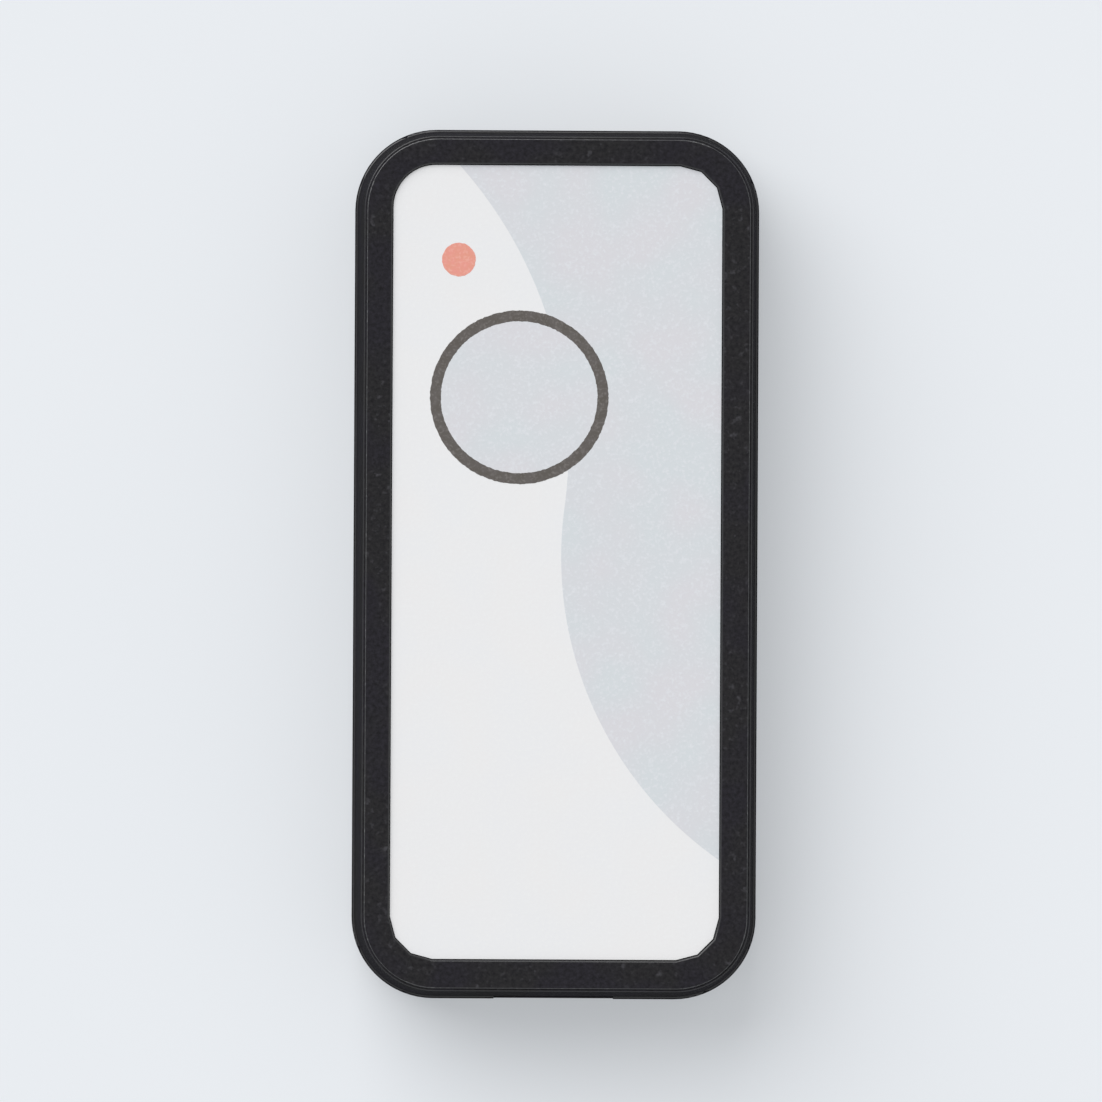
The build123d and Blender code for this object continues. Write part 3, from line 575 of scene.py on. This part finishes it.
routes += [
    (supply, [(right_rail, right_top), (right_rail, -14.2), (13.6, -17.0), (12.0, -17.0)]),
    (supply, [(middle_rail, middle_top), (middle_rail, -6.0), (-1.2, -9.4), (-1.2, -14.2)]),
    (ground, [(left_rail, 31.0), (left_rail, -29.0), (-12.0, -33.0), (12.0, -33.0)]),
    (signal, [(chip_x - pad_reach, lead_heights[6]), (-2.0, lead_heights[6])]),
    (supply, [(chip_x, resonator_level), (chip_x, 22.2)]),
    (supply, [collector, (1.8, collector[1])]),
    (supply, [emitter, (-5.5, emitter[1]), (-9.0, 34.95), (-9.0, 37.0)]),
    (supply, [(9.0, 37.0), (9.0, 33.6)]),
    (signal, [base, (-5.4, 28.45), (-5.4, 26.6)]),
    (signal, [(lamp_right, lamp_y - 0.8), (lamp_right, 26.6)]),
    (supply, [(lamp_left, lamp_y), (rail_joint, lamp_y)]),
    (supply, [tantalum_ends[0], (rail_joint, tantalum_ends[0][1])]),
    (signal, [tantalum_ends[1], (middle_rail, tantalum_ends[1][1])]),
]
bm = bmesh.new()
for width, route in routes:
    add_ribbon(bm, route, width, board_low.z)
thicken(bm, -track_rise)
masked_track = surface(
    "mask_over_copper", "#1C7A45", "#176B3C", patch=3.0, grain=0.4, relief=0.002,
    finish={"Roughness": 0.3, "Coat Weight": 0.3, "Coat Roughness": 0.12},
)
tracks = add_object(bm, "board_tracks", [masked_track])
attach(tracks, "front_half")

# Pads: bare copper under a thin coat of tin, where the leads are soldered
pad_rise = 1.4 * track_rise
lead_pad = (1.3, 0.7)
end_pad = (0.9, 1.5)
transistor_pad = (0.9, 0.8)
tantalum_pad = (1.0, 2.0)
cell_pad = (3.2, 5.6)
via_radius = 0.45
via_bore = 0.15
pads = []
for way in (-1, 1):
    pads += [(chip_x + way * pad_reach, height, *lead_pad) for height in lead_heights]
    pads += [(resistor_x + way * end_reach, height, *end_pad) for height in resistor_heights]
    pads += [(capacitor_x + way * end_reach, height, *end_pad) for height in capacitor_heights]
pads += [(*place, *transistor_pad) for place in (collector, emitter, base)]
pads += [(*place, *tantalum_pad) for place in tantalum_ends]
pads += [(11.5, cell_y, *cell_pad)]
vias = [(-5.4, resonator_level), (lamp_right, resonator_level)]
vias += [(-1.2, -14.0), (right_rail, -2.0), (left_rail, 22.0)]
bm = bmesh.new()
for x, y, width, length in pads:
    add_pad(bm, x, y, width, length, board_low.z)
for x, y in vias:
    add_washer(bm, x, y, via_radius, via_bore, board_low.z)
thicken(bm, -pad_rise)

# The four pads of the switch are on the front of the board
switch_x, switch_y = centre("switch_base")
terminal_x = 3.9
terminal_y = 2.25
terminal_pad = (1.4, 1.1)
for way_x in (-1, 1):
    for way_y in (-1, 1):
        x, y = switch_x + way_x * terminal_x, switch_y + way_y * terminal_y
        place = Matrix.Translation((x * mm, y * mm, board_high.z))
        size = Matrix.Diagonal((terminal_pad[0] * mm, terminal_pad[1] * mm, 2 * pad_rise, 1))
        bmesh.ops.create_cube(bm, size=1, matrix=place @ size)
# Tin: soft white metal, matt where it froze, with a faint crystal bloom
matt_tin = surface(
    "matt_tin_plate", "#CDCDCB", "#B9BABB", patch=0.8, grain=0.2, relief=0.003,
    finish={"Metallic": 1.0, "Roughness": 0.34},
)
tinned_pads = add_object(bm, "board_pads", [matt_tin])
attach(tinned_pads, "front_half")

# Outlines of the parts, screen-printed in white ink on the mask
print_line = 0.18
print_rise = 1.2 * track_rise
resonator_outline = 5.3
cell_outline = 11.9


def frame_round(node, margin):
    """The corners of a rectangle round a CAD node, from the middle of its lower side."""
    low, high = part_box(node)
    left, bottom = low.x / mm - margin, low.y / mm - margin
    right, top = high.x / mm + margin, high.y / mm + margin
    middle = (left + right) / 2
    return [(middle, bottom), (right, bottom), (right, top), (left, top), (left, bottom), (middle, bottom)]


bm = bmesh.new()
for node, margin in (
    ("crystal_can", 0.5), ("transistor_leads", 0.6), ("tantalum_capacitor", 0.9),
    ("chip_resistors", 1.15), ("chip_capacitors", 1.15),
):
    add_ribbon(bm, frame_round(node, margin), print_line, board_low.z)
for node, outline, segments in (
    ("resonator_can", resonator_outline, 96), ("cell_can", cell_outline, 160),
):
    add_washer(bm, *centre(node), outline, outline - print_line, board_low.z, segments)
thicken(bm, -print_rise)
legend_ink = surface(
    "screen_printed_epoxy_ink", "#D9DAD3", "#CBCDC6", patch=1.0, grain=0.15, relief=0.002,
    finish={"Roughness": 0.6},
)
legend = add_object(bm, "board_outlines", [legend_ink])
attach(legend, "front_half")


# Push switch: a black thermoset base under a stainless cover, with a sprung dome inside and a
# white acetal stem that carries the key.
# Thermoset: hard black moulding compound, smooth and slightly glossy
dress(
    surface(
        "black_thermoset", "#1A1A1B", "#121213", patch=1.0, grain=0.15, relief=0.004,
        finish={"Roughness": 0.42},
    ),
    "switch_base",
)
# Stainless strip: cool grey metal with fine rolling marks along its length
stainless_strip = surface(
    "rolled_stainless_strip", "#B4B5B6", "#9FA1A3", patch=1.5, grain=0.1, relief=0.002,
    finish={"Metallic": 1.0, "Roughness": 0.3}, stretch=(0.08, 1, 1),
)
dress(stainless_strip, "switch_cover")
# Acetal: milky white, waxy and smooth
dress(
    surface(
        "moulded_acetal", "#C9C9C2", "#BFC0B9", patch=1.5, grain=0.2, relief=0.002,
        finish={"Roughness": 0.35, "Subsurface Weight": 0.1, "Subsurface Scale": 0.5 * mm},
    ),
    "switch_stem",
)
dress(matt_tin, "switch_terminals")

# The dome gives way under the stem in the switch; here it is a smoothly shaded copy with a mesh of its own
dome = merged_copy("switch_dome", "sprung_dome")
dome.data.materials.append(stainless_strip)
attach(dome, "front_half")
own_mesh(dome)


# Lamp: a red light-emitting diode cast in clear epoxy, with two square leads through the board.
# Clear red epoxy: glassy, deep red where it is thick
swirl_size = 1.2
cast_epoxy, tree, shader = new_material(
    "clear_red_epoxy", {"Roughness": 0.08, "IOR": 1.54, "Transmission Weight": 0.75}
)
place = add_node(tree, "ShaderNodeTexCoord").outputs["Object"]
swirls = add_node(
    tree, "ShaderNodeTexNoise", {"Vector": place, "Scale": 1 / (swirl_size * mm), "Detail": 2.0}
)
red = add_node(
    tree, "ShaderNodeMix",
    {"Factor": swirls.outputs["Fac"], "A": linear("#E2493F"), "B": linear("#C93A34")}, data_type="RGBA",
)
tree.links.new(red.outputs["Result"], shader.inputs["Base Color"])
dress(cast_epoxy, "lamp_lens")
dress(matt_tin, "lamp_leads")


# Radio parts behind the board: the encoder chip, the crystal and resonator in their steel cans,
# the output transistor and the small supply parts, all soldered by their ends or leads.
# Moulded epoxy: charcoal, with the dry, finely pitted skin of a chip body
moulded_epoxy = surface(
    "moulded_chip_epoxy", "#2B2B2D", "#202022", patch=0.8, grain=0.12, relief=0.006,
    finish={"Roughness": 0.62},
)
dress(moulded_epoxy, "encoder_chip", "transistor_body")
# Nickel-plated cans: bright warm metal, drawn smooth
drawn_nickel = surface(
    "drawn_nickel_plate", "#C9C5BC", "#B8B5AD", patch=3.0, grain=0.25, relief=0.0015,
    finish={"Metallic": 1.0, "Roughness": 0.22}, stretch=(0.3, 1, 1),
)
dress(drawn_nickel, "crystal_can", "resonator_can")
dress(matt_tin, "encoder_leads", "transistor_leads", "chip_ends")
# Tantalum capacitor: mustard moulded epoxy
dress(
    surface(
        "mustard_moulded_epoxy", "#D9A03B", "#C98F30", patch=1.0, grain=0.12, relief=0.004,
        finish={"Roughness": 0.5},
    ),
    "tantalum_capacitor",
)
# Resistors: black glass over alumina; capacitors: fired tan ceramic
dress(
    surface(
        "black_resistor_glass", "#232326", "#18181B", patch=0.6, grain=0.1, relief=0.002,
        finish={"Roughness": 0.25},
    ),
    "chip_resistors",
)
dress(
    surface(
        "fired_tan_ceramic", "#A98763", "#9B7A58", patch=0.6, grain=0.1, relief=0.003,
        finish={"Roughness": 0.45},
    ),
    "chip_capacitors",
)


# Antenna: one staple of tinned copper wire, bent to shape, soldered at both ends.
# Solder: bright tin alloy that ran smooth and froze with a slight ripple
dress(
    surface(
        "tinned_copper_wire", "#D2CFC9", "#C0BDB7", patch=1.5, grain=0.2, relief=0.002,
        finish={"Metallic": 1.0, "Roughness": 0.26}, stretch=(0.1, 1, 1),
    ),
    "loop_antenna",
)
dress(
    surface(
        "frozen_solder", "#D4D4D3", "#BFC0C1", patch=0.5, grain=0.25, relief=0.006,
        finish={"Metallic": 1.0, "Roughness": 0.24},
    ),
    "solder_joints",
)


# Screws: two cross-slotted pan-head screws in zinc-plated steel, through the rear of the board.
# Zinc plate: bluish bright steel with a faint cloud
dress(
    surface(
        "zinc_plated_steel", "#C3C8CE", "#AEB3B9", patch=0.9, grain=0.15, relief=0.002,
        finish={"Metallic": 1.0, "Roughness": 0.3},
    ),
    "board_screws",
)


# Cell holder: a ring moulded in black glass-filled nylon, pinned through the board, with sprung
# bronze contacts at the back and the side of the cell.
# Glass-filled nylon: dull black, with streaks where the glass lies near the skin
dress(
    surface(
        "glass_filled_nylon", "#2A2A2B", "#1C1C1D", patch=1.5, grain=0.2, relief=0.006,
        finish={"Roughness": 0.55}, stretch=(1, 1, 0.3),
    ),
    "cell_holder",
)
# Phosphor bronze under bright nickel: warm, pale spring metal
dress(
    surface(
        "nickelled_phosphor_bronze", "#CFC3AE", "#BFB29B", patch=1.5, grain=0.12, relief=0.002,
        finish={"Metallic": 1.0, "Roughness": 0.28}, stretch=(1, 0.1, 1),
    ),
    "negative_contact", "positive_contact",
)


# Coin cell: a lithium cell in a drawn steel can, closed by a cap over a nylon gasket, with the
# pressed cathode pellet and the lithium disc inside.
# Cell steel: nickel-plated, brushed in one direction, with fine handling marks
cell_steel = surface(
    "brushed_cell_steel", "#A3A4A6", "#8C8E91", patch=0.7, grain=0.15, relief=0.004,
    finish={"Metallic": 1.0, "Roughness": 0.33}, stretch=(0.06, 1, 1),
)
dress(cell_steel, "cell_can", "cell_cap")
dress(
    surface(
        "moulded_nylon_gasket", "#3A3A3C", "#2E2E30", patch=1.0, grain=0.15, relief=0.003,
        finish={"Roughness": 0.5},
    ),
    "cell_gasket",
)
dress(
    surface(
        "pressed_cathode_mix", "#2C2B2A", "#1D1C1C", patch=0.7, grain=0.12, relief=0.02,
        finish={"Roughness": 0.85},
    ),
    "cathode_pellet",
)
dress(
    surface(
        "rolled_lithium", "#B7B6B0", "#94938E", patch=1.5, grain=0.2, relief=0.006,
        finish={"Metallic": 1.0, "Roughness": 0.48}, stretch=(0.2, 1, 1),
    ),
    "lithium_disc",
)


# Adhesive: a clear acrylic sheet on a carrier that holds the overlay down in its pocket, open
# over the key and the lamp.
dress(
    surface(
        "acrylic_adhesive_sheet", "#B9B7AE", "#ABA9A0", patch=2.0, grain=0.3, relief=0.003,
        finish={"Roughness": 0.4},
    ),
    "overlay_adhesive",
)


# Overlay: die-cut white polyester film, a quarter of a millimetre thick, glued in the pocket of
# the front. Its corner by the lamp is round and the other three are cut in three short facets.
film_corner = 4.25
film_facets = 3
round_steps = 24
flex_outer = 7.6
flex_inner = 6.6
flex_sectors = 24
key_x, key_y = centre("ring_print")
ink_rise = 0.01 * mm
pebble_relief = 0.008


def printed(name, cool, warm, pale, patch, fleck, finish):
    """Ink on film: broad soft clouds of two close tones, with fine pale flecks painted where the pebbled
    skin of the film stands proud, a painted highlight on the tops of the pebbles."""
    material, tree, shader = new_material(name, finish)
    place = add_node(tree, "ShaderNodeTexCoord").outputs["Object"]
    clouds = add_node(
        tree, "ShaderNodeTexNoise", {"Vector": place, "Scale": 1 / (patch * mm), "Detail": 1.0}
    )
    share = add_node(
        tree, "ShaderNodeMapRange", {"Value": clouds.outputs["Fac"], "From Min": 0.35, "From Max": 0.65}
    )
    tone = add_node(
        tree, "ShaderNodeMix",
        {"Factor": share.outputs["Result"], "A": linear(cool), "B": linear(warm)}, data_type="RGBA",
    )
    pebbles = add_node(
        tree, "ShaderNodeTexNoise", {"Vector": place, "Scale": 1 / (fleck * mm), "Detail": 1.0}
    )
    # Pale flecks on the raised pebbles: a painted highlight
    fleck_highlights = add_node(
        tree, "ShaderNodeMapRange", {"Value": pebbles.outputs["Fac"], "From Min": 0.5, "From Max": 0.8}
    )
    colour = add_node(
        tree, "ShaderNodeMix",
        {"Factor": fleck_highlights.outputs["Result"], "A": tone.outputs["Result"], "B": linear(pale)},
        data_type="RGBA",
    )
    tree.links.new(colour.outputs["Result"], shader.inputs["Base Color"])
    bump = add_node(
        tree, "ShaderNodeBump",
        {"Height": pebbles.outputs["Fac"], "Strength": 1.0, "Distance": pebble_relief * mm},
    )
    tree.links.new(bump.outputs["Normal"], shader.inputs["Normal"])
    return material


def add_film_outline(bm, height):
    """Adds the flat outline of the film: a rectangle with its corners bevelled as it was cut."""
    size = film_high - film_low
    middle = (film_low + film_high) / 2
    place = Matrix.Translation((middle.x, middle.y, height)) @ Matrix.Diagonal((size.x, size.y, 1, 1))
    corners = bmesh.ops.create_grid(bm, x_segments=1, y_segments=1, size=0.5, matrix=place)["verts"]
    for vert in corners:
        by_lamp = vert.co.x < middle.x and vert.co.y > middle.y
        bmesh.ops.bevel(
            bm, geom=[vert], offset=film_corner * mm, affect="VERTICES",
            segments=round_steps if by_lamp else film_facets, profile=0.5, material=-1,
        )


# White polyester film: bright, smooth and satin, with hardly any texture. The pebbles of its skin
# are about 0.05 mm, too fine to show, so they are drawn larger here and under the inks.
satin_film = printed(
    "satin_white_polyester_film", "#EAEAEB", "#EBEAEA", "#ECECEC", patch=7.0, fleck=0.35,
    finish={"Roughness": 0.5, "Specular IOR Level": 0.3},
)
bm = bmesh.new()
add_film_outline(bm, film_low.z)
bmesh.ops.delete(bm, geom=bm.faces[:], context="FACES_ONLY")
hole = Matrix.Translation((key_x * mm, key_y * mm, film_low.z))
bmesh.ops.create_circle(bm, radius=flex_outer * mm, segments=4 * flex_sectors, matrix=hole)
bmesh.ops.triangle_fill(bm, edges=bm.edges[:], use_beauty=True)
thicken(bm, film_high.z - film_low.z)
film = add_object(bm, "overlay_sheet", [satin_film])
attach(film, "front_half")
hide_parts("overlay_film")

# Pale grey ink: the field right of the S-curve, and the disc inside the ring
arc_steps = 96
upper_arc = Vector((-41.7, 11.2, 0)) * mm
upper_radius = 42.75 * mm
lower_radius = 36.95 * mm
joint_angle = radians(-7.45)
joint_way = Vector((cos(joint_angle), sin(joint_angle), 0))
lower_arc = upper_arc + joint_way * (upper_radius + lower_radius)
grey_ink = printed(
    "pale_grey_ink", "#D4D9DC", "#D8D7DB", "#DEE0E4", patch=7.0, fleck=0.3,
    finish={"Roughness": 0.5, "Specular IOR Level": 0.3},
)
top_angle = (film_high.y - upper_arc.y) / upper_radius
top_way = Vector((sqrt(1 - top_angle ** 2), top_angle, 0))
bm = bmesh.new()
start = bm.verts.new(upper_arc + upper_radius * top_way + Vector((0, 0, film_high.z)))
swing = joint_way.xy.angle_signed(top_way.xy)
spun = bmesh.ops.spin(
    bm, geom=[start], cent=upper_arc, axis=(0, 0, 1), angle=-abs(swing),
    steps=arc_steps, use_duplicate=False,
)
joint = next(item for item in spun["geom_last"] if isinstance(item, bmesh.types.BMVert))
end_x = lower_arc.x - film_high.x
end_swing = abs((-joint_way).xy.angle_signed(Vector((-end_x, -sqrt(lower_radius ** 2 - end_x ** 2)))))
bmesh.ops.spin(
    bm, geom=[joint], cent=lower_arc, axis=(0, 0, 1), angle=end_swing,
    steps=arc_steps, use_duplicate=False,
)
grown = bmesh.ops.extrude_edge_only(bm, edges=bm.edges[:])["geom"]
for item in grown:
    if isinstance(item, bmesh.types.BMVert):
        item.co.x = film_high.x
bmesh.ops.remove_doubles(bm, verts=bm.verts, dist=0.001 * mm)
corner_middle = Vector((film_high.x, film_high.y, 0)) - Vector((film_corner, film_corner, 0)) * mm
for facet in range(film_facets):
    angle = radians(90 * (facet + 0.5) / film_facets)
    way = Vector((cos(angle), sin(angle), 0))
    chord = corner_middle + way * film_corner * mm * cos(radians(45 / film_facets))
    bmesh.ops.bisect_plane(
        bm, geom=bm.verts[:] + bm.edges[:] + bm.faces[:], plane_co=chord, plane_no=way, clear_outer=True
    )
thicken(bm, ink_rise)
field = add_object(bm, "grey_field", [grey_ink])

# The field stops under the ring, so the round inside the ring is cut out of it here
disc_radius = 8.2
bm = bmesh.new()
place = Matrix.Translation((key_x * mm, key_y * mm, film_high.z))
bmesh.ops.create_circle(bm, cap_ends=True, radius=disc_radius * mm, segments=4 * flex_sectors, matrix=place)
thicken(bm, 4 * ink_rise)
bmesh.ops.translate(bm, verts=bm.verts, vec=(0, 0, -2 * ink_rise))
cutter = add_object(bm, "disc_cutter", [])
opening = field.modifiers.new("disc_opening", "BOOLEAN")
opening.object = cutter
opening.operation = "DIFFERENCE"
opening.solver = "EXACT"
cut_mesh = bpy.data.meshes.new_from_object(field.evaluated_get(bpy.context.evaluated_depsgraph_get()))
field.modifiers.clear()
field.data = cut_mesh
bpy.data.objects.remove(cutter)
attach(field, "front_half")

# Ring: dark warm-grey ink, with the slightly rough edge of a printed line
ring_low, ring_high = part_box("ring_print")
ring_size = (ring_high - ring_low) / 2 / mm
ring_stroke = 1.08
ring_segments = 720
ring_rise = 1.8 * ink_rise
ink_gap = 0.2 * ink_rise
ragged = 0.05
wander_size = 0.3


def add_oval(bm, half_width, half_length, segments, roughness, seed):
    """Adds an oval loop whose radius wanders a little, as an ink edge does."""
    loop = bmesh.ops.create_circle(bm, radius=1.0, segments=segments)["verts"]
    for vert in loop:
        way = vert.co.xy.copy()
        spot = Vector((way.x * half_width / wander_size, way.y * half_width / wander_size, seed))
        wander = roughness * (noise.noise(spot) + 0.5 * noise.noise(spot * 2.3))
        vert.co.x = way.x * (half_width + wander)
        vert.co.y = way.y * (half_length + wander)
    return loop_edges(loop)


bm = bmesh.new()
outer = add_oval(bm, ring_size.x, ring_size.y, ring_segments, ragged, seed=1.5)
inner = add_oval(bm, ring_size.x - ring_stroke, ring_size.y - ring_stroke, ring_segments, ragged, seed=7.5)
bmesh.ops.bridge_loops(bm, edges=outer + inner)
thicken(bm, 1.0)
for vert in bm.verts:
    height = film_high.z + (ring_rise if vert.co.z > 0.5 else ink_gap)
    vert.co = ((vert.co.x + key_x) * mm, (vert.co.y + key_y) * mm, height)
ring_ink = printed(
    "warm_dark_grey_ink", "#59544F", "#5F5A57", "#75706D", patch=0.8, fleck=0.25,
    finish={"Roughness": 0.5, "Specular IOR Level": 0.3},
)
ring = add_object(bm, "key_ring_print", [ring_ink])
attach(ring, "front_half")
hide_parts("ring_print")

# Dot: pale red ink over the lamp
dot_x, dot_y = centre("dot_print")
dot_low, dot_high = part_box("dot_print")
dot_radius = (dot_high.x - dot_low.x) / 2 / mm
dot_segments = 200
dot_ragged = 0.04
bm = bmesh.new()
add_oval(bm, dot_radius, dot_radius, dot_segments, dot_ragged, seed=3.5)
bmesh.ops.contextual_create(bm, geom=bm.edges[:])
thicken(bm, 1.0)
for vert in bm.verts:
    height = film_high.z + (ink_rise if vert.co.z > 0.5 else ink_gap)
    vert.co = ((vert.co.x + dot_x) * mm, (vert.co.y + dot_y) * mm, height)
red_ink = printed(
    "pale_red_ink", "#E8998C", "#E49A87", "#EEAE9F", patch=0.8, fleck=0.25,
    finish={"Roughness": 0.5, "Specular IOR Level": 0.3},
)
dot = add_object(bm, "lamp_dot_print", [red_ink])
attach(dot, "front_half")
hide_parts("dot_print")

# Disc inside the ring: its rim is fixed, the middle goes down with the key, and the film over the edge
# of the key, between them, is cut into sectors
bm = bmesh.new()
add_washer(bm, key_x, key_y, disc_radius, flex_outer, film_high.z, 4 * flex_sectors)
thicken(bm, ink_rise)
rim = add_object(bm, "grey_disc_rim", [grey_ink])
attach(rim, "front_half")

bm = bmesh.new()
place = Matrix.Translation((key_x * mm, key_y * mm, film_low.z))
bmesh.ops.create_circle(bm, cap_ends=True, radius=flex_inner * mm, segments=4 * flex_sectors, matrix=place)
thicken(bm, film_high.z + ink_rise - film_low.z)
middle = add_object(bm, "grey_disc_middle", [grey_ink])
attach(middle, "key")
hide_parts("grey_print")

sector = 2 * pi / flex_sectors
spine_steps = 8
for number in range(flex_sectors):
    bm = bmesh.new()
    spine = [
        bm.verts.new(((flex_inner + (flex_outer - flex_inner) * step / spine_steps) * mm, 0, film_low.z))
        for step in range(spine_steps + 1)
    ]
    edges = [bm.edges.new(pair) for pair in zip(spine, spine[1:])]
    bmesh.ops.rotate(bm, verts=bm.verts, cent=(0, 0, 0), matrix=Matrix.Rotation(-sector / 2, 3, "Z"))
    bmesh.ops.spin(
        bm, geom=spine + edges, cent=(0, 0, 0), axis=(0, 0, 1), angle=sector, steps=4, use_duplicate=False
    )
    thicken(bm, film_high.z + ink_rise - film_low.z)
    turn = number * sector
    bmesh.ops.rotate(bm, verts=bm.verts, cent=(0, 0, 0), matrix=Matrix.Rotation(turn, 3, "Z"))
    bmesh.ops.translate(bm, verts=bm.verts, vec=(key_x * mm, key_y * mm, 0))
    piece = add_object(bm, f"grey_disc_flex_{number:02d}", [grey_ink])
    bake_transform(piece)
